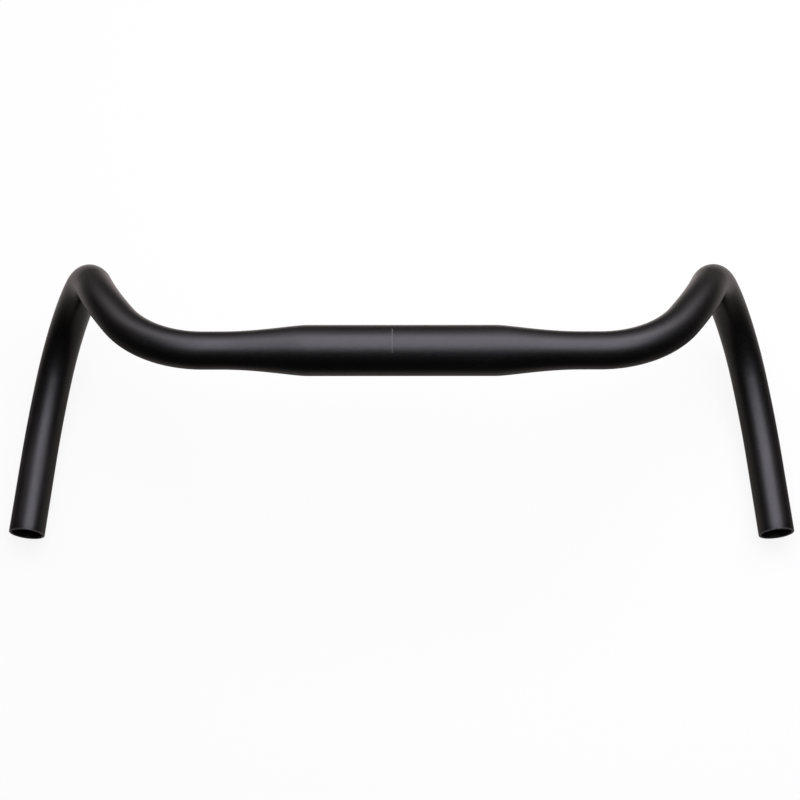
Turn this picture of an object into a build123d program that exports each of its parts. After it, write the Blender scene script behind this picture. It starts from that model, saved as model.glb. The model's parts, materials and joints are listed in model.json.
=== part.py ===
from build123d import *

import math
import os

# Drop handlebar: the stretches of one butted, swaged and bent aluminium tube, which meet end to end
# with the same ring section, and the line that marks the middle of its clamp area.
#
# The frame is in millimetres: +X to the rider's right along the clamp area, +Y forward, +Z up.
# The origin is the middle of the clamp area. The bar is set up with its two drop ends level.

# Tube sections
clamp_diameter = 31.8
grip_diameter = 23.8
clamp_wall = 2.6
grip_wall = 1.8

# Clamp area, and the swaged taper on each side of it
clamp_half_length = 58.3
taper_length = 53.3
taper_shoulder = 8.9  # how far the clamp's surface runs on before the taper falls away
taper_foot = 23.4  # how far before its end the taper flattens into the top

# Centre line from the taper to the open end: lengths and radii in mm, turns and rolls in degrees.
# A roll turns the plane of the next bend about the tube, from the plane of the bend before it.
top_length = 11.6
shoulder_radius = 66.2
shoulder_turn = 57.0
outer_shoulder_roll = -46.3
outer_shoulder_radius = 135.0
outer_shoulder_turn = 19.0
ramp_length = 5.0
hook_roll = -63.5
hook_radius = 38.0
hook_turn = 49.2
lower_hook_roll = -8.9
lower_hook_radius = 69.8
lower_hook_turn = 63.2
drop_radius = 172.0
drop_turn = 19.2
drop_end_length = 51.6
rim_chamfer = 0.4

# Centre mark: a paint-filled line, sunk into the clamp area and flush with it
mark_offset = -5.6  # to the rider's left of the middle
mark_width = 0.7
mark_depth = 0.15
mark_behind_top = 27.0  # degrees round the tube, from its top
mark_ahead_of_top = 36.0

# Sizes that follow
clamp_radius = clamp_diameter / 2
grip_radius = grip_diameter / 2
clamp_bore_radius = clamp_radius - clamp_wall
grip_bore_radius = grip_radius - grip_wall
taper_end = clamp_half_length + taper_length

# Stretches after the taper, in order: name, roll before it, bend radius (None where straight),
# and length or turn
stretches = [
    ("top", 0, None, top_length),
    ("shoulder", 0, shoulder_radius, shoulder_turn),
    ("outer_shoulder", outer_shoulder_roll, outer_shoulder_radius, outer_shoulder_turn),
    ("ramp", 0, None, ramp_length),
    ("hook", hook_roll, hook_radius, hook_turn),
    ("lower_hook", lower_hook_roll, lower_hook_radius, lower_hook_turn),
    ("drop", 0, drop_radius, drop_turn),
    ("drop_end", 0, None, drop_end_length),
]


def after_straight(start, length):
    """Plane across the tube at the end of a straight run."""
    return Plane(origin=start.origin + start.z_dir * length, x_dir=start.x_dir, z_dir=start.z_dir)


def after_bend(start, radius, turn):
    """Plane across the tube at the end of a bend, which turns towards the start plane's X."""
    cosine = math.cos(math.radians(turn))
    sine = math.sin(math.radians(turn))
    across = start.x_dir * cosine - start.z_dir * sine
    along = start.z_dir * cosine + start.x_dir * sine
    return Plane(origin=start.origin + (start.x_dir - across) * radius, x_dir=across, z_dir=along)


def rolled(plane, roll):
    """The same cross-section plane, turned about the tube's own line."""
    across = plane.x_dir * math.cos(math.radians(roll)) + plane.y_dir * math.sin(math.radians(roll))
    return Plane(origin=plane.origin, x_dir=across, z_dir=plane.z_dir)


def mirrored(plane):
    """The plane's twin on the other side of the bar."""
    flip = [Vector(-v.X, v.Y, v.Z) for v in (plane.origin, plane.x_dir, plane.z_dir)]
    return Plane(origin=flip[0], x_dir=flip[1], z_dir=flip[2])


def route(tilt):
    """Planes across the right-hand tube, at the start of each stretch and at the open end.

    The tilt, in degrees, turns the whole bar about the clamp area.
    """
    forward = Vector(0, math.cos(math.radians(tilt)), math.sin(math.radians(tilt)))
    plane = Plane(origin=(taper_end, 0, 0), x_dir=forward, z_dir=(1, 0, 0))
    planes = []
    for name, roll, radius, amount in stretches:
        plane = rolled(plane, roll)
        planes.append(plane)
        plane = after_straight(plane, amount) if radius is None else after_bend(plane, radius, amount)
    planes.append(plane)
    return planes


def level_tilt():
    """Tilt that leaves the drop ends level and pointing back at the rider."""
    end = route(0)[-1].z_dir
    return math.degrees(math.atan2(end.Z, -end.Y))


def grip_ring():
    """Cross-section of the tube beyond the tapers, added to the sketch in hand."""
    Circle(grip_radius)
    Circle(grip_bore_radius, mode=Mode.SUBTRACT)


def straight_tube(start, length):
    """A straight stretch of tube."""
    with BuildPart() as tube:
        with BuildSketch(start):
            grip_ring()
        extrude(amount=length)
    return tube.part


def bent_tube(start, radius, turn):
    """A bend, turned about the axis that lies one radius away along the start plane's X."""
    bend_axis = Axis(origin=start.origin + start.x_dir * radius, direction=start.y_dir)
    with BuildPart() as tube:
        with BuildSketch(start):
            grip_ring()
        revolve(axis=bend_axis, revolution_arc=turn)
    return tube.part


def open_end(start, length):
    """The last straight stretch, with the edges of its open rim broken."""
    with BuildPart() as tube:
        with BuildSketch(start):
            grip_ring()
        extrude(amount=length)
        rim = tube.faces().sort_by(Axis(origin=start.origin, direction=start.z_dir))[-1]
        chamfer(rim.edges(), length=rim_chamfer)
    return tube.part


def taper_curve(start_radius, end_radius):
    """One wall of the taper, with no kink where it meets the clamp area and the top."""
    return Bezier(
        (clamp_half_length, start_radius),
        (clamp_half_length + taper_shoulder, start_radius),
        (taper_end - taper_foot, end_radius),
        (taper_end, end_radius),
    )


def taper_tube(side):
    """The swaged stretch from the clamp area down to the grip diameter."""
    with BuildPart() as swage:
        with BuildSketch(Plane(origin=(0, 0, 0), x_dir=(side, 0, 0), z_dir=(0, 0, 1))):
            with BuildLine():
                outer = taper_curve(clamp_radius, grip_radius)
                inner = taper_curve(clamp_bore_radius, grip_bore_radius)
                Line(outer @ 0, inner @ 0)
                Line(outer @ 1, inner @ 1)
            make_face()
        revolve(axis=Axis.X)
    return swage.part


def mark_sector(outer_radius):
    """The mark's outline seen along the bar, on the plane of its left-hand side."""
    # The angles count from +Y round to +Z, so the top of the tube is at 90 degrees.
    start_angle = 90 - mark_ahead_of_top
    arc_angle = mark_ahead_of_top + mark_behind_top
    with BuildSketch(Plane.YZ.offset(mark_offset - mark_width / 2)) as sector:
        with BuildLine():
            outer = CenterArc((0, 0), outer_radius, start_angle, arc_angle)
            inner = CenterArc((0, 0), clamp_radius - mark_depth, start_angle, arc_angle)
            Line(outer @ 0, inner @ 0)
            Line(outer @ 1, inner @ 1)
        make_face()
    return sector.sketch


def write(part, label):
    """Name a finished piece and save it."""
    part.label = label
    export_step(part, f"parts/{label}.step")


def build_clamp_area():
    """The clamp area, with its groove, and the mark that fills the groove."""
    groove_sector = mark_sector(clamp_radius + mark_depth)
    fill_sector = mark_sector(clamp_radius)
    with BuildPart() as clamp_section:
        with BuildSketch(Plane.YZ):
            Circle(clamp_radius)
            Circle(clamp_bore_radius, mode=Mode.SUBTRACT)
        extrude(amount=clamp_half_length, both=True)
        extrude(groove_sector, amount=mark_width, mode=Mode.SUBTRACT)
    write(clamp_section.part, "clamp_section")

    with BuildPart() as centre_mark:
        extrude(fill_sector, amount=mark_width)
    write(centre_mark.part, "centre_mark")


def build_side(label, side):
    """The taper and the eight stretches after it, on one side of the bar."""
    write(taper_tube(side), f"{label}_taper")
    for (name, roll, radius, amount), plane in zip(stretches, route(level_tilt())):
        start = plane if side > 0 else mirrored(plane)
        if name == "drop_end":
            piece = open_end(start, amount)
        elif radius is None:
            piece = straight_tube(start, amount)
        else:
            piece = bent_tube(start, radius, amount)
        write(piece, f"{label}_{name}")


def main():
    os.makedirs("parts", exist_ok=True)
    build_clamp_area()
    build_side("right", 1)
    build_side("left", -1)


main()
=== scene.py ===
"""Visual model of a drop handlebar: one butted, swaged and bent aluminium tube, anodised black.

The bar is modelled as a maker would make it. A cross-section of the tube is drawn, run out along each
straight, swage and bend, and finished at its open end. The clamp area has a fine engraved centre line.
Lengths are in metres and turns in degrees. The frame is the CAD model's: +X to the rider's right along the
clamp area, +Y forward, +Z up, with its origin in the middle of the clamp area.
"""

import json
import logging
import math
from dataclasses import dataclass, field
from enum import Enum
from functools import partial
from typing import Any, Callable, Iterable

import bpy
from mathutils import Matrix, Vector

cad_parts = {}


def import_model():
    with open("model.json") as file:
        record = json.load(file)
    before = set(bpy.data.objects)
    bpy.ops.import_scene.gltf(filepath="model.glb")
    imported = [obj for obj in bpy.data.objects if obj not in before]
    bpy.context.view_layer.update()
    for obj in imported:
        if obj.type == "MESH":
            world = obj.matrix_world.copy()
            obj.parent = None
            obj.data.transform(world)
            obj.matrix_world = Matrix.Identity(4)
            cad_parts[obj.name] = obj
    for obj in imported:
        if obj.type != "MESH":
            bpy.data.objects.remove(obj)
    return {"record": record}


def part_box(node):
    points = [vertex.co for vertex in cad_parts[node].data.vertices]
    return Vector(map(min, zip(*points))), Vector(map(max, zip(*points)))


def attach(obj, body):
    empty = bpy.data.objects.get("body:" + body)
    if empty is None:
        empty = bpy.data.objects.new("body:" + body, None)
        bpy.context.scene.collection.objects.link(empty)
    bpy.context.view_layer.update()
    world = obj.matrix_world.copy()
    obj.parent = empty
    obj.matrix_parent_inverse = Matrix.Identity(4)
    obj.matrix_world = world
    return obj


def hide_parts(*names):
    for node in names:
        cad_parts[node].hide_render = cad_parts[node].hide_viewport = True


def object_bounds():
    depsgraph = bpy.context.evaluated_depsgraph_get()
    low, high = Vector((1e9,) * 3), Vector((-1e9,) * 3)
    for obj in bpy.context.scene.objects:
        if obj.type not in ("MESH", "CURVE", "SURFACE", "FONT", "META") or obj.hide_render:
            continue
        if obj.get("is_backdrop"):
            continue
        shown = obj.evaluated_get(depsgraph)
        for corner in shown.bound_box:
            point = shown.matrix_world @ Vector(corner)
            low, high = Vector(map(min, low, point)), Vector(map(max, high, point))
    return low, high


LOG = logging.getLogger("handlebar")

Colour = tuple[float, float, float]
Pieces = list[tuple[bpy.types.Object, str]]  # each piece with the CAD node that it stands for

MM = 0.001
RING_POINTS = 120  # points round the tube, 3 degrees apart
DOUBLES_WITHIN = 0.001 * MM  # points nearer to each other than this are merged
CREASE = 35.0  # edges sharper than this stay sharp, in degrees
UNBENT = "unbent"  # each point's place on the tube as it was before bending
NOISE_MIDDLE = 0.5  # the value that noise varies about
FLOOR_GAP = 0.1 * MM  # from the bar's lowest point down to the floor
WHITE = (1.0, 1.0, 1.0, 1.0)
BLACK = (0.0, 0.0, 0.0, 1.0)


# ---------------------------------------------------------------------------
# Sides, sections and cuts
# ---------------------------------------------------------------------------


class Side(Enum):
    """The rider's two sides of the bar."""

    RIGHT = 1
    LEFT = -1

    @property
    def label(self) -> str:
        """The word that starts the names of this side's nodes and pieces."""
        return self.name.lower()

    def flip(self, point: Vector) -> Vector:
        """A point on the rider's right taken to this side, or one on this side taken back."""
        return Vector((point.x * self.value, point.y, point.z))


@dataclass(frozen=True)
class Section:
    """The ring section of the tube.

    Attributes:
        outer: Outside radius.
        bore: Inside radius.
    """

    outer: float
    bore: float


@dataclass(frozen=True)
class Cut:
    """A plane across the tube.

    Attributes:
        origin: Where the centre line passes through the plane.
        across: Direction in the plane, towards which the next bend turns.
        along: Direction in which the tube runs on.
    """

    origin: Vector
    across: Vector
    along: Vector

    @property
    def third(self) -> Vector:
        """The other direction in the plane."""
        return self.along.cross(self.across)

    def after_straight(self, length: float) -> "Cut":
        """The cut at the end of a straight run of this length."""
        return Cut(self.origin + self.along * length, self.across, self.along)

    def after_bend(self, radius: float, turn: float) -> "Cut":
        """The cut at the end of a bend towards this cut's across direction.

        Args:
            radius: Radius of the bend's centre line.
            turn: How far the tube turns, in degrees.

        Returns:
            The cut there.
        """
        cosine, sine = math.cos(math.radians(turn)), math.sin(math.radians(turn))
        across = self.across * cosine - self.along * sine
        along = self.along * cosine + self.across * sine
        return Cut(self.origin + (self.across - across) * radius, across, along)

    def rolled(self, roll: float) -> "Cut":
        """The same cut, with its across direction turned about the tube by this many degrees."""
        cosine, sine = math.cos(math.radians(roll)), math.sin(math.radians(roll))
        return Cut(self.origin, self.across * cosine + self.third * sine, self.along)


# ---------------------------------------------------------------------------
# Modelling by hand
# ---------------------------------------------------------------------------


def edit(piece: bpy.types.Object) -> None:
    """Open a piece for editing by its faces, alone, with nothing selected in it.

    Args:
        piece: The piece to edit.
    """
    bpy.ops.object.select_all(action="DESELECT")
    bpy.context.view_layer.objects.active = piece
    piece.select_set(True)
    bpy.ops.object.mode_set(mode="EDIT")
    bpy.ops.mesh.select_mode(type="FACE")
    bpy.ops.mesh.select_all(action="DESELECT")


def leave() -> None:
    """Close the piece that is being edited."""
    bpy.ops.object.mode_set(mode="OBJECT")


def pick_faces(piece: bpy.types.Object, wanted: Callable[[bpy.types.MeshPolygon], bool]) -> None:
    """Select faces of the piece that is being edited, by their place or normal.

    Args:
        piece: The piece being edited.
        wanted: Says whether a face is wanted.
    """
    leave()
    for face in piece.data.polygons:
        face.select = wanted(face)
    bpy.ops.object.mode_set(mode="EDIT")


def draw_circle(cut: Cut, radius: float, name: str) -> bpy.types.Object:
    """Draw a circle round the centre line on a cut, and leave it open for editing and selected.

    Args:
        cut: The cut to draw on.
        radius: The circle's radius.
        name: The new piece's name.

    Returns:
        The new piece.
    """
    bpy.ops.object.select_all(action="DESELECT")
    turned = Matrix((cut.across, cut.third, cut.along)).transposed().to_euler()
    bpy.ops.mesh.primitive_circle_add(
        vertices=RING_POINTS, radius=radius, fill_type="NOTHING", location=cut.origin, rotation=turned
    )
    piece = bpy.context.object
    piece.name = piece.data.name = name
    bpy.ops.object.transform_apply(location=True, rotation=True, scale=True)
    bpy.ops.object.mode_set(mode="EDIT")
    bpy.ops.mesh.select_all(action="SELECT")
    return piece


def grow_wall(centre: Vector, ratio: float) -> None:
    """Extrude the selected circle of edges in its own plane, to the circle on the other side of the wall.

    Args:
        centre: The circle's centre.
        ratio: The new circle's radius over the selected circle's.
    """
    bpy.ops.mesh.extrude_edges_move()
    bpy.ops.transform.resize(value=(ratio, ratio, ratio), center_override=centre)


def draw_ring(cut: Cut, section: Section, name: str) -> bpy.types.Object:
    """Draw the tube's ring section on a cut, and leave it open for editing and selected.

    Args:
        cut: The cut to draw on.
        section: The ring's radii.
        name: The new piece's name.

    Returns:
        The new piece.
    """
    piece = draw_circle(cut, section.outer, name)
    grow_wall(cut.origin, section.bore / section.outer)
    bpy.ops.mesh.select_mode(type="FACE")
    bpy.ops.mesh.select_all(action="SELECT")
    return piece


def close_up(piece: bpy.types.Object) -> None:
    """Merge a finished shell's doubles, point its faces outwards and shade it smooth.

    Args:
        piece: The piece, open for editing or not.
    """
    if piece.mode == "EDIT":
        leave()
    edit(piece)
    bpy.ops.mesh.select_all(action="SELECT")
    bpy.ops.mesh.remove_doubles(threshold=DOUBLES_WITHIN)
    bpy.ops.mesh.normals_make_consistent(inside=False)
    leave()
    bpy.ops.object.shade_smooth_by_angle(angle=math.radians(CREASE))


def mirrored_copy(piece: bpy.types.Object, name: str) -> bpy.types.Object:
    """Copy a finished piece, with its own mesh, to the other side of the bar.

    Args:
        piece: The piece on the rider's right.
        name: The copy's name.

    Returns:
        The copy on the rider's left.
    """
    bpy.ops.object.select_all(action="DESELECT")
    bpy.context.view_layer.objects.active = piece
    piece.select_set(True)
    bpy.ops.object.duplicate()
    copy = bpy.context.object
    copy.name = copy.data.name = name
    edit(copy)
    bpy.ops.mesh.select_all(action="SELECT")
    bpy.ops.transform.resize(value=(-1, 1, 1), center_override=(0, 0, 0))
    close_up(copy)
    return copy


def write_unbent(piece: bpy.types.Object, place: Callable[[Vector], Vector]) -> None:
    """Keep, at each point of a piece, where that point lay on the straight tube before bending.

    Args:
        piece: The piece.
        place: Gives that place for a point of the piece.
    """
    kept = piece.data.attributes.new(UNBENT, "FLOAT_VECTOR", "POINT")
    values = [number for vertex in piece.data.vertices for number in place(vertex.co)]
    kept.data.foreach_set("vector", values)


# ---------------------------------------------------------------------------
# Stretches of the tube
# ---------------------------------------------------------------------------


@dataclass
class Stretch:
    """A stretch of tube between two cuts, on the rider's right, and its twin on the left.

    Attributes:
        name: The stretch's name, without its side.
        start: The cut that it starts at.
        section: The ring section that it starts with.
        reach: Distance along the tube from the middle of the bar to the start.
        roll: Turn of the start's across direction from the tube's own front towards its top, in degrees.
    """

    name: str
    start: Cut
    section: Section
    reach: float
    roll: float

    @property
    def length(self) -> float:
        """Length of the stretch along its centre line."""
        raise NotImplementedError

    @property
    def end(self) -> Cut:
        """The cut that the stretch ends at."""
        raise NotImplementedError

    @property
    def drawn_on(self) -> Cut:
        """The start cut, turned back to the tube's own front, so that neighbours share their points."""
        return self.start.rolled(-self.roll)

    def run_out(self) -> None:
        """Run the ring that is drawn and selected out along the stretch."""
        raise NotImplementedError

    def straightened(self, point: Vector) -> tuple[float, Vector]:
        """A point's distance along the stretch, and its place from the centre line as at the start."""
        raise NotImplementedError

    def unbent(self, point: Vector) -> Vector:
        """Where a point lay on the straight tube: along it, then forward and up from its middle.

        Args:
            point: A point of the piece on the rider's right.

        Returns:
            The place before bending.
        """
        distance, offset = self.straightened(point)
        across, third = offset.dot(self.start.across), offset.dot(self.start.third)
        cosine, sine = math.cos(math.radians(self.roll)), math.sin(math.radians(self.roll))
        forward, up = across * cosine - third * sine, across * sine + third * cosine
        return Vector((self.reach + distance, forward, up))

    def unbent_on(self, side: Side, point: Vector) -> Vector:
        """Where a point of this side's piece lay on the straight tube."""
        return side.flip(self.unbent(side.flip(point)))

    def build_wall(self, name: str) -> bpy.types.Object:
        """Model the stretch as a closed wall of tube.

        Args:
            name: The piece's name.

        Returns:
            The piece, closed and shaded.
        """
        piece = draw_ring(self.drawn_on, self.section, name)
        self.run_out()
        close_up(piece)
        return piece

    def build(self) -> Pieces:
        """Model both sides of the stretch.

        Returns:
            Each piece with the CAD node that it stands for.
        """
        right = self.build_wall(f"{Side.RIGHT.label}_{self.name}_tube")
        left = mirrored_copy(right, f"{Side.LEFT.label}_{self.name}_tube")
        both = {Side.RIGHT: right, Side.LEFT: left}
        for side, piece in both.items():
            write_unbent(piece, partial(self.unbent_on, side))
        return [(piece, f"{side.label}_{self.name}") for side, piece in both.items()]


@dataclass
class StraightStretch(Stretch):
    """A stretch whose centre line is straight.

    Attributes:
        run: Its length.
    """

    run: float

    @property
    def length(self) -> float:
        """Length of the stretch along its centre line."""
        return self.run

    @property
    def end(self) -> Cut:
        """The cut that the stretch ends at."""
        return self.start.after_straight(self.run)

    def straightened(self, point: Vector) -> tuple[float, Vector]:
        """Distance along the stretch, and place from its centre line."""
        offset = point - self.start.origin
        return offset.dot(self.start.along), offset


@dataclass
class StraightRun(StraightStretch):
    """A straight stretch with one ring section from end to end.

    Attributes:
        rings: How many times its section is extruded, so that its faces stay short.
    """

    rings: int = 4

    def run_out(self) -> None:
        """Extrude the ring along the stretch."""
        for _ in range(self.rings):
            step = self.start.along * (self.run / self.rings)
            bpy.ops.mesh.extrude_region_move(TRANSFORM_OT_translate={"value": step})


@dataclass
class OpenEnd(StraightRun):
    """The last straight stretch, with the edges of its open rim broken.

    Attributes:
        rim_break: How far the broken edges reach into the rim and down the walls.
        rim_steps: How many faces each broken edge is rounded with.
    """

    rim_break: float = 0.4 * MM
    rim_steps: int = 3

    def run_out(self) -> None:
        """Extrude the ring to the open end, then break the rim's two edges."""
        super().run_out()
        bpy.ops.mesh.region_to_loop()
        bpy.ops.mesh.bevel(
            offset=self.rim_break,
            offset_type="OFFSET",
            segments=self.rim_steps,
            profile=0.5,
            affect="EDGES",
        )


@dataclass
class Bend(Stretch):
    """A bend towards the start's across direction.

    Attributes:
        radius: Radius of the centre line.
        turn: How far the tube turns, in degrees.
    """

    radius: float
    turn: float

    @property
    def length(self) -> float:
        """Length of the stretch along its centre line."""
        return self.radius * math.radians(self.turn)

    @property
    def end(self) -> Cut:
        """The cut that the stretch ends at."""
        return self.start.after_bend(self.radius, self.turn)

    @property
    def hub(self) -> Vector:
        """The point that the tube bends round."""
        return self.start.origin + self.start.across * self.radius

    def run_out(self) -> None:
        """Spin the ring round the bend's axis, a degree or less at a time."""
        # Spin turns the left-handed way round its axis, so the axis is the bend's own turned about.
        bpy.ops.mesh.spin(
            steps=math.ceil(self.turn),
            angle=math.radians(self.turn),
            center=self.hub,
            axis=self.start.across.cross(self.start.along),
        )

    def straightened(self, point: Vector) -> tuple[float, Vector]:
        """Undo the bend for one point, by turning it back round the hub.

        Args:
            point: A point of the piece on the rider's right.

        Returns:
            Its distance round the bend, and its place from the centre line in the start's directions.
        """
        spoke = point - self.hub
        towards, forward = -spoke.dot(self.start.across), spoke.dot(self.start.along)
        inwards = self.start.across * (self.radius - math.hypot(towards, forward))
        sideways = self.start.third * spoke.dot(self.start.third)
        return self.radius * math.atan2(forward, towards), inwards + sideways


@dataclass
class Swage(StraightStretch):
    """The taper, swaged down from the clamp area's section with no kink at either end.

    Attributes:
        small: The ring section that it ends with.
        shoulder: How far the large section's surface runs on before it falls away.
        foot: How far before the end it flattens into the small section.
        rings: How many rings each wall is drawn with.
    """

    small: Section
    shoulder: float
    foot: float
    rings: int = 32

    def share(self, step: int) -> tuple[float, float]:
        """The swage's curve, a cubic with level ends.

        Args:
            step: Ring number, from 0 to rings.

        Returns:
            The distance along the swage, and how much of the fall in radius is done there.
        """
        ahead = step / self.rings
        behind = 1 - ahead
        early = 3 * behind**2 * ahead
        late = 3 * behind * ahead**2
        distance = early * self.shoulder + late * (self.run - self.foot) + ahead**3 * self.run
        return distance, late + ahead**3

    def radius_at(self, step: int, large: float, small: float) -> float:
        """One wall's radius at a ring, from its radii at the start and the end."""
        return large + (small - large) * self.share(step)[1]

    def draw_wall(self, steps: Iterable[tuple[int, int]], large: float, small: float) -> None:
        """Extrude the selected circle of edges along one wall, and resize it at each step.

        Args:
            steps: Pairs of ring numbers, from one to the next.
            large: The wall's radius at the start of the swage.
            small: The wall's radius at its end.
        """
        for before, after in steps:
            move = self.share(after)[0] - self.share(before)[0]
            bpy.ops.mesh.extrude_edges_move(TRANSFORM_OT_translate={"value": self.start.along * move})
            ratio = self.radius_at(after, large, small) / self.radius_at(before, large, small)
            centre = self.start.origin + self.start.along * self.share(after)[0]
            bpy.ops.transform.resize(value=(ratio, ratio, ratio), center_override=centre)

    def build_wall(self, name: str) -> bpy.types.Object:
        """Draw the outside down the swage, turn in at its end, come back up the bore and close the start.

        Args:
            name: The piece's name.

        Returns:
            The piece, closed and shaded.
        """
        piece = draw_circle(self.drawn_on, self.section.outer, name)
        forth = [(step, step + 1) for step in range(self.rings)]
        back = [(after, before) for before, after in reversed(forth)]
        self.draw_wall(forth, self.section.outer, self.small.outer)
        grow_wall(self.end.origin, self.small.bore / self.small.outer)
        self.draw_wall(back, self.section.bore, self.small.bore)
        grow_wall(self.start.origin, self.section.outer / self.section.bore)
        close_up(piece)
        return piece


# ---------------------------------------------------------------------------
# Sub-assemblies
# ---------------------------------------------------------------------------


@dataclass(frozen=True)
class Sizes:
    """The sizes that more than one sub-assembly takes.

    Attributes:
        clamp: Ring section of the clamp area.
        grip: Ring section of the rest of the tube.
        clamp_half_length: From the middle of the bar to the end of the clamp area.
    """

    clamp: Section = Section(15.9 * MM, 13.3 * MM)
    grip: Section = Section(11.9 * MM, 10.1 * MM)
    clamp_half_length: float = 58.3 * MM


@dataclass(frozen=True)
class Finishes:
    """The finishes that the pieces take.

    Attributes:
        slots: The record's material slot of each CAD node.
        materials: The material that belongs to each slot.
    """

    slots: dict[str, str]
    materials: dict[str, bpy.types.Material]

    def dress(self, piece: bpy.types.Object, node: str) -> None:
        """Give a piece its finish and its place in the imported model.

        Args:
            piece: The piece.
            node: The CAD node that it stands for.
        """
        slot = self.slots[node]
        piece.data.materials.clear()
        piece.data.materials.append(self.materials[slot])
        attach(piece, "root")
        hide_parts(node)


@dataclass
class SubAssembly:
    """A part of the bar that models its own pieces and dresses them.

    Attributes:
        sizes: The shared sizes.
    """

    sizes: Sizes

    def build(self) -> Pieces:
        """Model its pieces, and give each with the CAD node that it stands for."""
        raise NotImplementedError

    def dress(self, pieces: Pieces, finishes: Finishes) -> None:
        """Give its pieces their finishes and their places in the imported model."""
        for piece, node in pieces:
            finishes.dress(piece, node)


@dataclass
class ClampArea(SubAssembly):
    """The thick middle of the bar, with its engraved and painted centre line.

    Attributes:
        line_middle: The line's place along the bar, to the rider's left of the middle.
        line_width: Its width.
        line_depth: Its depth.
        line_from: Where it starts round the tube, in degrees from the front over the top.
        line_to: Where it ends.
        rings: How many faces long each half of the area is.
    """

    line_middle: float = -5.6 * MM
    line_width: float = 0.7 * MM
    line_depth: float = 0.15 * MM
    line_from: float = 54.0
    line_to: float = 117.0
    rings: int = 10

    def stations(self) -> list[float]:
        """Places along the bar that the ring is extruded to, from left to right.

        Returns:
            The stations after the left end.
        """
        half = self.sizes.clamp_half_length
        near, far = self.line_middle - self.line_width / 2, self.line_middle + self.line_width / 2
        before = [-half + (near + half) * step / self.rings for step in range(1, self.rings + 1)]
        after = [far + (half - far) * step / self.rings for step in range(self.rings + 1)]
        return before + after

    def build_tube(self) -> bpy.types.Object:
        """Model the clamp area's wall, extruded from its left end to its right.

        Returns:
            The piece, with no line in it yet.
        """
        place = -self.sizes.clamp_half_length
        start = Cut(Vector((place, 0, 0)), Vector((0, 1, 0)), Vector((1, 0, 0)))
        piece = draw_ring(start, self.sizes.clamp, "clamp_area_tube")
        for station in self.stations():
            bpy.ops.mesh.extrude_region_move(TRANSFORM_OT_translate={"value": (station - place, 0, 0)})
            place = station
        close_up(piece)
        return piece

    def under_line(self, face: bpy.types.MeshPolygon) -> bool:
        """Whether a face lies under the centre line.

        Args:
            face: A face of the clamp area's wall.

        Returns:
            True on the outside, within the line's width and length.
        """
        middle = face.center
        turn = math.degrees(math.atan2(middle.z, middle.y))
        outside = math.hypot(middle.y, middle.z) > self.sizes.clamp.outer - self.line_depth
        across = abs(middle.x - self.line_middle) < self.line_width / 2
        return outside and across and self.line_from < turn < self.line_to

    def engrave(self, tube: bpy.types.Object) -> bpy.types.Object:
        """Sink the line's groove into the tube, and fill it with a piece of its own.

        Args:
            tube: The clamp area's wall.

        Returns:
            The paint in the groove.
        """
        sunk = 1 - self.line_depth / self.sizes.clamp.outer
        edit(tube)
        pick_faces(tube, self.under_line)
        bpy.ops.mesh.extrude_region_move()
        bpy.ops.transform.resize(value=(1, sunk, sunk), center_override=(0, 0, 0))
        bpy.ops.mesh.duplicate()
        bpy.ops.mesh.separate(type="SELECTED")
        leave()
        paint = next(o for o in bpy.context.selected_objects if o is not tube)
        paint.name = paint.data.name = "centre_line_paint"
        edit(paint)
        bpy.ops.mesh.select_all(action="SELECT")
        bpy.ops.mesh.extrude_region_move()
        bpy.ops.transform.resize(value=(1, 1 / sunk, 1 / sunk), center_override=(0, 0, 0))
        close_up(paint)
        close_up(tube)
        return paint

    def build(self) -> Pieces:
        """Model the clamp area and its line.

        Returns:
            Each piece with the CAD node that it stands for.
        """
        tube = self.build_tube()
        paint = self.engrave(tube)
        for piece in (tube, paint):
            write_unbent(piece, lambda point: point)
        return [(tube, "clamp_section"), (paint, "centre_mark")]


@dataclass
class TubeLine:
    """The centre line of the right-hand tube, which the sub-assemblies add their stretches to in order.

    Attributes:
        cut: Where the line has come to.
        reach: How far that is along the tube, from the middle of the bar.
        roll: Turn of the cut's across direction from the tube's own front towards its top, in degrees.
    """

    cut: Cut
    reach: float
    roll: float

    def turn_plane(self, roll: float) -> None:
        """Roll the plane of the bends that follow about the tube."""
        self.cut = self.cut.rolled(roll)
        self.roll += roll

    def add(self, kind: type[Stretch], name: str, section: Section, **sizes: Any) -> Stretch:
        """Add a stretch to the end of the line.

        Args:
            kind: The stretch's class.
            name: Its name, without its side.
            section: The ring section that it starts with.
            **sizes: The sizes of that kind of stretch.

        Returns:
            The stretch.
        """
        stretch = kind(name, self.cut, section, self.reach, self.roll, **sizes)
        self.cut, self.reach = stretch.end, self.reach + stretch.length
        return stretch


@dataclass
class TubeRun(SubAssembly):
    """A run of neighbouring stretches of the tube, the same on both sides of the bar.

    Attributes:
        stretches: Its stretches on the rider's right, in order, once they are laid out.
    """

    stretches: list[Stretch] = field(default_factory=list, init=False)

    def lay_out(self, line: TubeLine) -> None:
        """Lay its stretches out anew at the end of the line."""
        raise NotImplementedError

    def build(self) -> Pieces:
        """Model every stretch on both sides of the bar."""
        return [built for stretch in self.stretches for built in stretch.build()]


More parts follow.
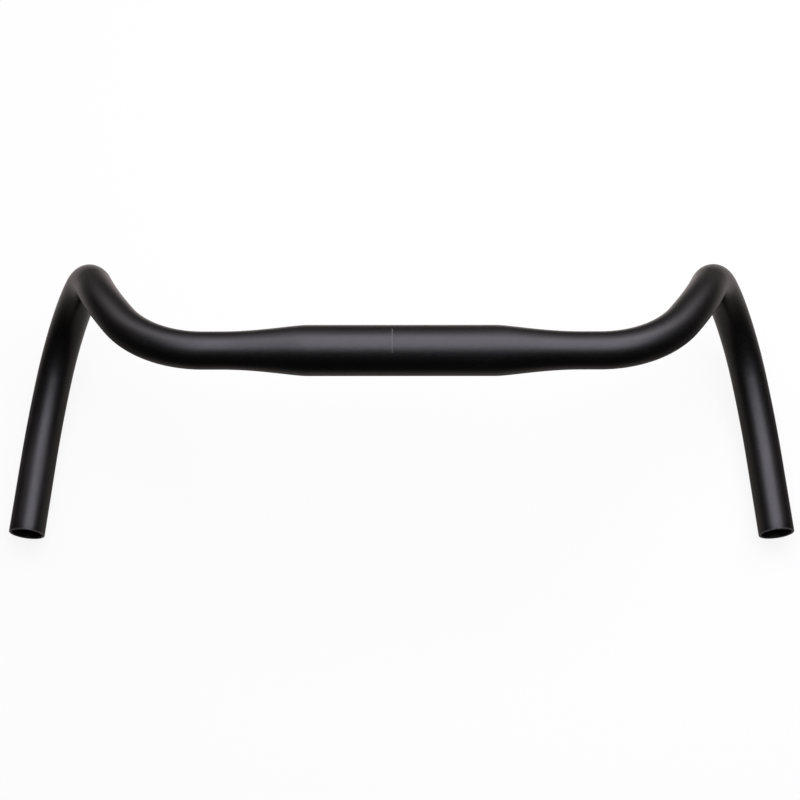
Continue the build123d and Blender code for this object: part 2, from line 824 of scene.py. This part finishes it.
@dataclass
class Tops(TubeRun):
    """The swaged taper, the short top and the two bends that bring the bar forward and down to the hook.

    Attributes:
        taper_length: Length of the swage.
        taper_shoulder: How far the clamp area's surface runs on into it.
        taper_foot: How far before its end it flattens.
        top_length: Length of the straight top.
        shoulder_radius: Radius of the first, tighter bend.
        shoulder_turn: Its turn.
        outer_roll: Turn of the bend's plane about the tube, before the easier bend after it.
        outer_radius: Radius of the easier bend.
        outer_turn: Its turn.
        ramp_length: Length of the short straight where a lever is clamped.
        ramp_rings: How many times the ramp's section is extruded.
    """

    taper_length: float = 53.3 * MM
    taper_shoulder: float = 8.9 * MM
    taper_foot: float = 23.4 * MM
    top_length: float = 11.6 * MM
    shoulder_radius: float = 66.2 * MM
    shoulder_turn: float = 57.0
    outer_roll: float = -46.3
    outer_radius: float = 135.0 * MM
    outer_turn: float = 19.0
    ramp_length: float = 5.0 * MM
    ramp_rings: int = 2

    def lay_out(self, line: TubeLine) -> None:
        """Lay the taper, the top, the two bends and the ramp out.

        Args:
            line: The centre line, at the end of the clamp area.
        """
        grip = self.sizes.grip
        curve = {"small": grip, "shoulder": self.taper_shoulder, "foot": self.taper_foot}
        inner = [
            line.add(Swage, "taper", self.sizes.clamp, run=self.taper_length, **curve),
            line.add(StraightRun, "top", grip, run=self.top_length),
            line.add(Bend, "shoulder", grip, radius=self.shoulder_radius, turn=self.shoulder_turn),
        ]
        line.turn_plane(self.outer_roll)
        outer = [
            line.add(Bend, "outer_shoulder", grip, radius=self.outer_radius, turn=self.outer_turn),
            line.add(StraightRun, "ramp", grip, run=self.ramp_length, rings=self.ramp_rings),
        ]
        self.stretches = inner + outer


@dataclass
class Hooks(TubeRun):
    """The hook and the easier bend below it.

    Attributes:
        roll: Turn from the outer shoulder's plane to the hook's, about the ramp.
        hook_radius: Radius of the hook.
        hook_turn: Its turn.
        lower_roll: Turn from the hook's plane to the plane of the bend below it.
        lower_radius: Radius of the bend below it.
        lower_turn: Its turn.
    """

    roll: float = -63.5
    hook_radius: float = 38.0 * MM
    hook_turn: float = 49.2
    lower_roll: float = -8.9
    lower_radius: float = 69.8 * MM
    lower_turn: float = 63.2

    def lay_out(self, line: TubeLine) -> None:
        """Lay the hook and the lower hook out.

        Args:
            line: The centre line, at the end of the ramp.
        """
        grip = self.sizes.grip
        line.turn_plane(self.roll)
        hook = line.add(Bend, "hook", grip, radius=self.hook_radius, turn=self.hook_turn)
        line.turn_plane(self.lower_roll)
        lower = line.add(Bend, "lower_hook", grip, radius=self.lower_radius, turn=self.lower_turn)
        self.stretches = [hook, lower]


@dataclass
class Drops(TubeRun):
    """The nearly straight drop and its open end.

    Attributes:
        drop_radius: Radius of the drop's slight bend.
        drop_turn: Its turn.
        end_length: Length of the straight that ends the bar.
        end_rings: How many times the end's section is extruded.
        rim_break: How far the edges of the open rim are broken.
    """

    drop_radius: float = 172.0 * MM
    drop_turn: float = 19.2
    end_length: float = 51.6 * MM
    end_rings: int = 8
    rim_break: float = 0.4 * MM

    @property
    def rim_start(self) -> float:
        """Distance along the tube from the middle of the bar to where the broken rim starts."""
        end = self.stretches[-1]
        return end.reach + end.length - self.rim_break

    def lay_out(self, line: TubeLine) -> None:
        """Lay the drop and its open end out.

        Args:
            line: The centre line, at the end of the hooks.
        """
        grip = self.sizes.grip
        finish = {"rings": self.end_rings, "rim_break": self.rim_break}
        self.stretches = [
            line.add(Bend, "drop", grip, radius=self.drop_radius, turn=self.drop_turn),
            line.add(OpenEnd, "drop_end", grip, run=self.end_length, **finish),
        ]


@dataclass
class Handlebar:
    """The whole bar: its clamp area and, on each side of it, the tops, the hooks and the drops.

    Attributes:
        sizes: The sizes that the sub-assemblies share.
        clamp_area: The middle of the bar.
        tops: The runs from the clamp area to the hooks.
        hooks: The runs that turn down and back.
        drops: The runs that the rider holds low down, to the open ends.
    """

    sizes: Sizes = Sizes()
    clamp_area: ClampArea = field(init=False)
    tops: Tops = field(init=False)
    hooks: Hooks = field(init=False)
    drops: Drops = field(init=False)

    def __post_init__(self) -> None:
        """Make the sub-assemblies, and lay the tube out with its drop ends level."""
        self.clamp_area = ClampArea(self.sizes)
        self.tops = Tops(self.sizes)
        self.hooks = Hooks(self.sizes)
        self.drops = Drops(self.sizes)
        self.lay_out(self.level_tilt())

    @property
    def sub_assemblies(self) -> tuple[SubAssembly, ...]:
        """The sub-assemblies, from the middle of the bar outwards."""
        return self.clamp_area, self.tops, self.hooks, self.drops

    def lay_out(self, tilt: float) -> None:
        """Lay the right-hand tube's stretches end to end.

        Args:
            tilt: Turn of the bar about its clamp area, in degrees.
        """
        half = self.sizes.clamp_half_length
        forward = Vector((0, math.cos(math.radians(tilt)), math.sin(math.radians(tilt))))
        line = TubeLine(Cut(Vector((half, 0, 0)), forward, Vector((1, 0, 0))), half, tilt)
        for run in (self.tops, self.hooks, self.drops):
            run.lay_out(line)

    def level_tilt(self) -> float:
        """Find the tilt that levels the drop ends, from the bar laid out with no tilt.

        Returns:
            The tilt that leaves them pointing level, back at the rider, in degrees.
        """
        self.lay_out(0.0)
        end = self.drops.stretches[-1].end.along
        return math.degrees(math.atan2(end.z, -end.y))


# ---------------------------------------------------------------------------
# Shader sums
# ---------------------------------------------------------------------------


class Value:
    """A shader value that takes part in sums, which add their Math nodes to its tree."""

    def __init__(self, shader: "Shader", socket: bpy.types.NodeSocket) -> None:
        """Wrap an output socket that gives a number in the shader's tree."""
        self.shader = shader
        self.socket = socket

    def maths(self, operation: str, first: "Operand", second: "Operand | None" = None) -> "Value":
        """Add one Math node on one or two values or numbers, and give its result."""
        given = {number: value for number, value in enumerate((first, second)) if value is not None}
        return self.shader.value("ShaderNodeMath", {"operation": operation}, given)

    def __add__(self, other: "Operand") -> "Value":
        """This plus the other."""
        return self.maths("ADD", self, other)

    __radd__ = __add__

    def __sub__(self, other: "Operand") -> "Value":
        """This minus the other."""
        return self.maths("SUBTRACT", self, other)

    def __rsub__(self, other: "Operand") -> "Value":
        """The other minus this."""
        return self.maths("SUBTRACT", other, self)

    def __mul__(self, other: "Operand") -> "Value":
        """This times the other."""
        return self.maths("MULTIPLY", self, other)

    __rmul__ = __mul__

    def __truediv__(self, other: "Operand") -> "Value":
        """This over the other."""
        return self.maths("DIVIDE", self, other)

    def __pow__(self, other: "Operand") -> "Value":
        """This to the power of the other."""
        return self.maths("POWER", self, other)

    def __abs__(self) -> "Value":
        """This without its sign."""
        return self.maths("ABSOLUTE", self)

    def bearing(self, ahead: "Operand") -> "Value":
        """The angle, in radians, from straight ahead to a place this far aside."""
        return self.maths("ARCTAN2", self, ahead)

    def arc_sine(self) -> "Value":
        """The angle, in radians, whose sine this is."""
        return self.maths("ARCSINE", self)

    def bell(self) -> "Value":
        """A bell's height, 1 where this is 0, when this is a squared distance from its middle."""
        return self.maths("EXPONENT", 0 - self)

    def larger(self, other: "Operand") -> "Value":
        """The larger of this and the other."""
        return self.maths("MAXIMUM", self, other)

    def between(self, low: float, high: float) -> "Value":
        """A smooth step on this value.

        Args:
            low: Where the step starts, at 0.
            high: Where it ends, at 1. It may be below low, for a step down.

        Returns:
            The step, from 0 to 1.
        """
        flipped = low > high
        span = {"Value": self, "From Min": min(low, high), "From Max": max(low, high)}
        span |= {"To Min": float(flipped), "To Max": float(not flipped)}
        return self.shader.value("ShaderNodeMapRange", {"interpolation_type": "SMOOTHSTEP"}, span)


Operand = Value | float


@dataclass(frozen=True)
class Pattern:
    """A noise pattern, and how far it shows in a finish.

    Attributes:
        waves: Its waves per metre.
        detail: How many finer layers it has.
        carry: How strong each finer layer is beside the one before it.
        tint: How far it moves the colour.
        satin: How far it moves the roughness.
        level: The noise at which it leaves the colour alone.
    """

    waves: float
    detail: float
    carry: float
    tint: float = 0.0
    satin: float = 0.0
    level: float = NOISE_MIDDLE


class Shader:
    """A material's, a light's or the world's node tree, emptied and written anew."""

    def __init__(self, tree: bpy.types.NodeTree) -> None:
        """Take a node tree and empty it."""
        self.tree = tree
        tree.nodes.clear()

    def node(
        self, kind: str, settings: dict[str, Any] | None = None, inputs: dict[Any, Any] | None = None
    ) -> bpy.types.Node:
        """Add a node, set it up and feed its sockets.

        Args:
            kind: The node's type.
            settings: Its own settings, set before its sockets.
            inputs: Values, sockets or numbers for its input sockets, by name or number.

        Returns:
            The node.
        """
        made = self.tree.nodes.new(kind)
        for name, setting in (settings or {}).items():
            setattr(made, name, setting)
        for key, given in (inputs or {}).items():
            socket = made.inputs[key]
            given = given.socket if isinstance(given, Value) else given
            if isinstance(given, bpy.types.NodeSocket):
                self.tree.links.new(given, socket)
            else:
                socket.default_value = given
        return made

    def value(
        self, kind: str, settings: dict[str, Any] | None = None, inputs: dict[Any, Any] | None = None
    ) -> Value:
        """Add a node, as the node method does, and give its first output as a value."""
        return Value(self, self.node(kind, settings, inputs).outputs[0])

    def split(self, vector: bpy.types.NodeSocket) -> list[Value]:
        """Take a vector apart into its three numbers."""
        parts = self.node("ShaderNodeSeparateXYZ", None, {"Vector": vector})
        return [Value(self, part) for part in parts.outputs]

    def mixed(self, factor: Operand, low: Any, high: Any) -> bpy.types.NodeSocket:
        """Mix two colours, or sockets that give them. The factor is how much of the second shows."""
        inputs = {0: factor, 6: low, 7: high}  # the node's own sockets for colours
        return self.node("ShaderNodeMix", {"data_type": "RGBA", "clamp_factor": True}, inputs).outputs[2]

    def noise(self, place: bpy.types.NodeSocket, pattern: Pattern) -> Value:
        """Noise that varies about its middle.

        Args:
            place: Where on the piece it is read.
            pattern: Its size and layers.

        Returns:
            The noise, mostly between 0.3 and 0.7.
        """
        inputs = {
            "Vector": place,
            "Scale": pattern.waves,
            "Detail": pattern.detail,
            "Roughness": pattern.carry,
        }
        return self.value("ShaderNodeTexNoise", {"noise_dimensions": "3D"}, inputs)

    def bump(self, height: Value) -> bpy.types.NodeSocket:
        """The surface's normal, tipped by a height in metres."""
        inputs = {"Strength": 1.0, "Distance": 1.0, "Height": height}
        return self.node("ShaderNodeBump", None, inputs).outputs[0]

    def seen(self) -> Value:
        """1 where it is looked at, straight or through glass, and 0 in reflections and as light."""
        rays = self.node("ShaderNodeLightPath").outputs
        return Value(self, rays["Is Camera Ray"]).larger(Value(self, rays["Is Transmission Ray"]))

    def show(self, kind: str, surface: bpy.types.Node) -> None:
        """End the tree with an output node of this kind, which shows the surface."""
        self.node(kind, None, {"Surface": surface.outputs[0]})


def new_material(name: str) -> tuple[bpy.types.Material, Shader]:
    """Start a material.

    Args:
        name: Its name.

    Returns:
        The material, and its empty node tree.
    """
    material = bpy.data.materials.new(name)
    material.use_nodes = True
    return material, Shader(material.node_tree)


def with_alpha(colour: Colour) -> tuple[float, float, float, float]:
    """The colour as a socket takes it."""
    return (*colour, 1.0)


# ---------------------------------------------------------------------------
# Finishes
# ---------------------------------------------------------------------------


@dataclass(frozen=True)
class BlackAnodised:
    """Satin black anodising over fine blasted aluminium.

    Attributes:
        rim_start: Distance along the tube to where the broken rim starts.
        colour: The dyed layer.
        faded: The dye where handling and the bends have thinned it a little.
        rim_colour: The thin layer along the broken edges of the open ends, lightened further as a painted
            highlight along the rim.
        roughness: How satin it is.
        bore_satin: How much rougher it is in the bore.
        index: Refractive index of the sealed oxide.
        cloud: Broad patches of faded dye.
        mottle: Smaller patches.
        drawn: Faint lines that drawing the tube left along it.
        streak: How many times longer than wide those lines are.
        draw_depth: Their depth.
        grain: The blasted grain.
        grain_depth: Its depth.
        pit_waves: Waves of the pits in the grain, over the grain's own.
        pit_depth: Depth of the pits, over the grain's.
        bore_radius: Radius of the bore beyond the swage.
        bore_edge: How far above the bore its roughness starts, and how far above it is complete.
        rim_edge: How far before the broken rim the thin layer and painted highlight start, and how far
            into it they are whole.
    """

    rim_start: float
    colour: Colour = (0.0022, 0.0017, 0.0012)
    faded: Colour = (0.0042, 0.0035, 0.0028)
    rim_colour: Colour = (0.090, 0.088, 0.092)
    roughness: float = 0.402
    bore_satin: float = 0.2
    index: float = 1.6
    cloud: Pattern = Pattern(28.0, 3.0, 0.55, tint=1.6, satin=0.10, level=0.42)
    mottle: Pattern = Pattern(420.0, 2.0, 0.6, tint=0.8, satin=0.14)
    drawn: Pattern = Pattern(1400.0, 3.0, 0.6, tint=0.5, satin=0.05)
    streak: float = 60.0
    draw_depth: float = 0.0042 * MM
    grain: Pattern = Pattern(2800.0, 2.0, 0.7)
    grain_depth: float = 0.015 * MM
    pit_waves: float = 0.45
    pit_depth: float = 0.8
    bore_radius: float = 10.1 * MM
    bore_edge: tuple[float, float] = (0.5 * MM, 0.1 * MM)
    rim_edge: tuple[float, float] = (0.15 * MM, 0.1 * MM)

    def make(self) -> bpy.types.Material:
        """Write the material.

        Returns:
            The material.
        """
        material, shader = new_material("black_anodised_satin")
        place = shader.node("ShaderNodeTexCoord").outputs["Object"]
        unbent = shader.node("ShaderNodeAttribute", {"attribute_name": UNBENT}).outputs["Vector"]
        along, forward, up = shader.split(unbent)
        outer, inner = (self.bore_radius + edge for edge in self.bore_edge)
        on_bore = (forward**2 + up**2).between(outer**2, inner**2)
        on_rim = abs(along).between(self.rim_start - self.rim_edge[0], self.rim_start + self.rim_edge[1])

        stretched = {"Vector": unbent, "Scale": (self.streak, 1.0, 1.0)}
        streaks = shader.node("ShaderNodeMapping", {"vector_type": "TEXTURE"}, stretched)
        drawn = shader.noise(streaks.outputs[0], self.drawn)
        cloud, mottle = shader.noise(place, self.cloud), shader.noise(place, self.mottle)
        marks = ((cloud, self.cloud), (mottle, self.mottle), (drawn, self.drawn))
        fade = sum((noise - pattern.level) * pattern.tint for noise, pattern in marks)
        satin = sum((noise - NOISE_MIDDLE) * pattern.satin for noise, pattern in marks)
        dyed = shader.mixed(fade, with_alpha(self.colour), with_alpha(self.faded))

        grain = shader.noise(place, self.grain)
        spacing = {"Vector": place, "Scale": self.grain.waves * self.pit_waves}
        pits = shader.value("ShaderNodeTexVoronoi", {"feature": "F1"}, spacing)
        blasted = grain * self.grain_depth + pits * (self.grain_depth * self.pit_depth)
        lines = (drawn - NOISE_MIDDLE) * self.draw_depth
        skin = {
            # Along the open rims the colour is lightened: partly the thinner layer on the broken edges,
            # partly a painted highlight.
            "Base Color": shader.mixed(on_rim, dyed, with_alpha(self.rim_colour)),
            "Roughness": self.roughness + satin + on_bore * self.bore_satin,
            "IOR": self.index,
            "Normal": shader.bump(blasted + lines),
        }
        shader.show("ShaderNodeOutputMaterial", shader.node("ShaderNodeBsdfPrincipled", None, skin))
        return material


@dataclass(frozen=True)
class LinePaint:
    """Matt light grey paint, wiped into the engraved centre line.

    Attributes:
        colour: The paint.
        thin: The paint where it is thin, over the dark groove.
        roughness: How matt it is.
        wiped: The patches that wiping left.
        depth: How uneven they are.
    """

    colour: Colour = (0.118, 0.116, 0.123)
    thin: Colour = (0.077, 0.075, 0.080)
    roughness: float = 0.5
    wiped: Pattern = Pattern(2600.0, 3.0, 0.6, tint=3.0, satin=0.2, level=0.45)
    depth: float = 0.01 * MM

    def make(self) -> bpy.types.Material:
        """Write the material.

        Returns:
            The material.
        """
        material, shader = new_material("centre_line_grey")
        place = shader.node("ShaderNodeTexCoord").outputs["Object"]
        patchy = shader.noise(place, self.wiped)
        thickness = (patchy - self.wiped.level) * self.wiped.tint
        skin = {
            "Base Color": shader.mixed(thickness, with_alpha(self.thin), with_alpha(self.colour)),
            "Roughness": self.roughness + (patchy - NOISE_MIDDLE) * self.wiped.satin,
            "Normal": shader.bump(patchy * self.depth),
        }
        shader.show("ShaderNodeOutputMaterial", shader.node("ShaderNodeBsdfPrincipled", None, skin))
        return material


# ---------------------------------------------------------------------------
# Studio
# ---------------------------------------------------------------------------


@dataclass(frozen=True)
class Softbox:
    """A broad square light whose glow fades towards its edges, as a diffuser's does.

    Attributes:
        turn: Where it hangs, in degrees from behind the rider over the top.
        distance: Its distance from the middle of the bar.
        aside: How far it is moved to the rider's right.
        half_width: Half its width, to where its glow has fallen by half.
        half_depth: The same the other way.
        fade: The share of the half sizes over which the glow fades, inwards and outwards.
        corner: How square its corners are: 2 is a round light, and more is squarer.
        radiance: Its brightness in the middle.
        colour: Its tint.
    """

    turn: float = 107.9
    distance: float = 0.906
    aside: float = 0.172
    half_width: float = 0.641
    half_depth: float = 0.564
    fade: float = 0.324
    corner: float = 8.0
    radiance: float = 3.12
    colour: Colour = (0.905, 0.885, 1.0)

    def build(self) -> bpy.types.Object:
        """Hang the light, facing the bar.

        Returns:
            The light.
        """
        turn = math.radians(self.turn)
        towards = Vector((0, -math.cos(turn), math.sin(turn)))
        aside = Vector((1, 0, 0))
        facing = Matrix((aside, towards.cross(aside), towards)).transposed().to_euler()
        bpy.ops.object.select_all(action="DESELECT")
        place = towards * self.distance + aside * self.aside
        bpy.ops.object.light_add(type="AREA", location=place, rotation=facing)
        box = bpy.context.object
        box.name = "studio_softbox"
        box.visible_camera = False
        light = box.data
        light.shape = "RECTANGLE"
        light.size = 2 * self.half_width * (1 + self.fade)
        light.size_y = 2 * self.half_depth * (1 + self.fade)
        light.energy = self.radiance * math.pi * light.size * light.size_y
        light.color = self.colour
        light.use_nodes = True
        self.soften(Shader(light.node_tree))
        return box

    def soften(self, shader: Shader) -> None:
        """Write the light's glow, full in the middle and faded at the edges.

        Args:
            shader: The light's node tree.
        """
        # The place on the light runs from 0 to 1 each way, so its middle is at a half.
        place = shader.node("ShaderNodeNewGeometry").outputs["Parametric"]
        out = [abs(part - 0.5) * (2 * (1 + self.fade)) for part in shader.split(place)[:2]]
        edge = (out[0] ** self.corner + out[1] ** self.corner) ** (1 / self.corner)
        strength = edge.between(1 + self.fade, 1 - self.fade)
        glow = shader.node("ShaderNodeEmission", None, {"Strength": strength})
        shader.show("ShaderNodeOutputLight", glow)


@dataclass(frozen=True)
class Room:
    """The dim room, with two pale glows low ahead of the bar, one on each side.

    Attributes:
        glow: Brightness of the room as the bar reflects it.
        ahead: Brightness of the two glows in their middles.
        swing: How far to each side of straight ahead they stand, in degrees.
        height: How high they stand, in degrees.
        width: How far their brightness carries sideways, in degrees.
        depth: How far it carries up and down.
        tint: Tint of the room and its glows.
    """

    glow: float = 0.006
    ahead: float = 1.75
    swing: float = 31.0
    height: float = 29.5
    width: float = 20.0
    depth: float = 21.3
    tint: Colour = (1.0, 0.93, 0.97)

    def build(self) -> None:
        """Write the world: white behind everything, and the room in reflections."""
        world = bpy.data.worlds.new("studio_room")
        world.use_nodes = True
        bpy.context.scene.world = world
        shader = Shader(world.node_tree)
        seen = shader.seen()
        direction = shader.node("ShaderNodeTexCoord").outputs["Generated"]
        side, ahead, up = shader.split(direction)
        swing = abs(side).bearing(ahead) - math.radians(self.swing)
        rise = up.arc_sine() - math.radians(self.height)
        spread = (swing / math.radians(self.width)) ** 2 + (rise / math.radians(self.depth)) ** 2
        lit = self.glow + self.ahead * spread.bell()
        shade = shader.mixed(seen, with_alpha(self.tint), WHITE)
        strength = seen + (1 - seen) * lit
        backdrop = shader.node("ShaderNodeBackground", None, {"Color": shade, "Strength": strength})
        shader.show("ShaderNodeOutputWorld", backdrop)


@dataclass(frozen=True)
class Pool:
    """A painted pool of light on the floor: a glow of the floor's own that shows only in the bar's
    reflections.

    Attributes:
        glow: Its brightness in the middle.
        half_width: How far it carries to each side.
        half_depth: How far it carries ahead and behind.
        ahead: How far ahead of the bar's middle it lies.
    """

    glow: float
    half_width: float
    half_depth: float
    ahead: float

    def spread(self, side: Value, ahead: Value) -> Value:
        """Write the painted pool's brightness at a place on the floor."""
        fall = (side / self.half_width) ** 4 + ((ahead - self.ahead) / self.half_depth) ** 2
        return fall.bell() * self.glow


@dataclass(frozen=True)
class Floor:
    """A pale level floor: white to the eye, with a soft shadow and, in reflections, two painted pools of
    light.

    It is clear from below, so that the bar's underside can be looked at through it.

    Attributes:
        height: Its height.
        size: Length of its sides.
        shown: Its own brightness to the eye, to which the light that falls on it is added.
        paint: How much of that light it gives back.
        clear_from: How far out it starts to turn to plain white, past the shadow.
        clear_to: How far out it is plain white, so that its own edge doesn't show.
        pools: The painted pools of light, one ahead of the bar and one behind it.
        beyond: Brightness of the floor beyond them, in reflections.
        warmth: Tint of the floor in reflections.
    """

    height: float
    size: float = 8.0
    shown: float = 0.88
    paint: float = 0.13
    clear_from: float = 0.5
    clear_to: float = 1.6
    pools: tuple[Pool, ...] = (Pool(1.30, 0.355, 0.112, 0.158), Pool(0.32, 0.340, 0.070, -0.080))
    beyond: float = 0.026
    warmth: Colour = (1.0, 0.905, 0.875)

    def build(self) -> bpy.types.Object:
        """Lay the floor.

        Returns:
            The floor.
        """
        bpy.ops.object.select_all(action="DESELECT")
        bpy.ops.mesh.primitive_plane_add(size=self.size, location=(0, 0, self.height))
        floor = bpy.context.object
        floor.name = "studio_floor"
        bpy.ops.object.transform_apply(location=True, rotation=True, scale=True)
        floor.data.materials.append(self.finish())
        floor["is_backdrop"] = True
        return floor

    def finish(self) -> bpy.types.Material:
        """Write the floor's material.

        Returns:
            The material.
        """
        material, shader = new_material("studio_floor_white")
        seen = shader.seen()
        mirrored = Value(shader, shader.node("ShaderNodeLightPath").outputs["Is Glossy Ray"])
        side, ahead, _ = shader.split(shader.node("ShaderNodeTexCoord").outputs["Object"])
        side = abs(side)
        # In reflections the floor gives off painted pools of light as its own glow.
        painted_floor_glow = sum(pool.spread(side, ahead) for pool in self.pools) + self.beyond
        clear = ((side**2 + ahead**2) ** 0.5).between(self.clear_from, self.clear_to)
        strength = seen * (self.shown + (1 - self.shown) * clear) + mirrored * painted_floor_glow * (1 - seen)
        tint = shader.mixed(seen, with_alpha(self.warmth), WHITE)
        glow = shader.node("ShaderNodeEmission", None, {"Color": tint, "Strength": strength})
        paint = shader.node("ShaderNodeBsdfDiffuse", None, {"Color": with_alpha((self.paint,) * 3)})
        # In reflections the lamp-lit floor is swapped for black, so that only the painted pools show
        # there.
        dark = shader.node("ShaderNodeBsdfDiffuse", None, {"Color": BLACK})
        paints = {0: mirrored, 1: paint.outputs[0], 2: dark.outputs[0]}
        lit = shader.node("ShaderNodeMixShader", None, paints)
        above = shader.node("ShaderNodeAddShader", None, {0: lit.outputs[0], 1: glow.outputs[0]})
        from_below = shader.node("ShaderNodeNewGeometry").outputs["Backfacing"]
        nothing = shader.node("ShaderNodeBsdfTransparent")
        sides = {0: from_below, 1: above.outputs[0], 2: nothing.outputs[0]}
        shader.show("ShaderNodeOutputMaterial", shader.node("ShaderNodeMixShader", None, sides))
        return material


@dataclass
class Studio:
    """The floor, the softbox over it and the room round them.

    Attributes:
        floor_height: Height of the floor.
    """

    floor_height: float

    def build(self) -> None:
        """Build the floor, the light and the room."""
        Floor(self.floor_height).build()
        Softbox().build()
        Room().build()
        bpy.context.scene.view_settings.view_transform = "Standard"


@dataclass(frozen=True)
class Camera:
    """The viewer, above and behind the bar, where the rider sits.

    Attributes:
        place: Where it stands.
        tilt: Turn from straight down towards the front, in degrees.
        lean: Slight turn to the rider's right, in degrees.
        lens: Focal length in millimetres.
        sensor: Width of its sensor in millimetres.
        sight: How far it sees, in metres.
    """

    place: tuple[float, float, float] = (0.85 * MM, -457.20 * MM, 1132.69 * MM)
    tilt: float = 20.539
    lean: float = 0.085
    lens: float = 88.53
    sensor: float = 36.0
    sight: float = 40.0

    def build(self) -> None:
        """Set the camera up as the scene's."""
        turned = (math.radians(self.tilt), math.radians(self.lean), 0)
        bpy.ops.object.camera_add(location=self.place, rotation=turned)
        camera = bpy.context.object
        camera.name = "rider_view"
        camera.data.lens = self.lens
        camera.data.sensor_width = self.sensor
        camera.data.clip_end = self.sight
        bpy.context.scene.camera = camera


# ---------------------------------------------------------------------------
# The whole scene
# ---------------------------------------------------------------------------


def report(piece: bpy.types.Object, node: str) -> None:
    """Log a piece's size and how far its box is from its node's.

    Args:
        piece: The piece.
        node: The CAD node that it stands for.
    """
    corners = [vertex.co for vertex in piece.data.vertices]
    low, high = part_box(node)
    gaps = [abs(min(c[axis] for c in corners) - low[axis]) for axis in range(3)]
    gaps += [abs(max(c[axis] for c in corners) - high[axis]) for axis in range(3)]
    faces = len(piece.data.polygons)
    LOG.info("%s for %s: %d faces, box within %.3f mm", piece.name, node, faces, max(gaps) / MM)


def main() -> None:
    """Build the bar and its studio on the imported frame."""
    logging.basicConfig(level=logging.INFO, format="%(message)s")
    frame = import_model()
    cad_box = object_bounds()
    slots = {subpart["node"]: subpart["material_slot"] for subpart in frame["record"]["subparts"]}

    bar = Handlebar()
    materials = {
        "black_anodised": BlackAnodised(rim_start=bar.drops.rim_start).make(),
        "mark_paint": LinePaint().make(),
    }
    finishes = Finishes(slots, materials)
    for assembly in bar.sub_assemblies:
        pieces = assembly.build()
        assembly.dress(pieces, finishes)
        for piece, node in pieces:
            report(piece, node)

    Studio(floor_height=cad_box[0].z - FLOOR_GAP).build()
    Camera().build()


if __name__ == "__main__":
    main()
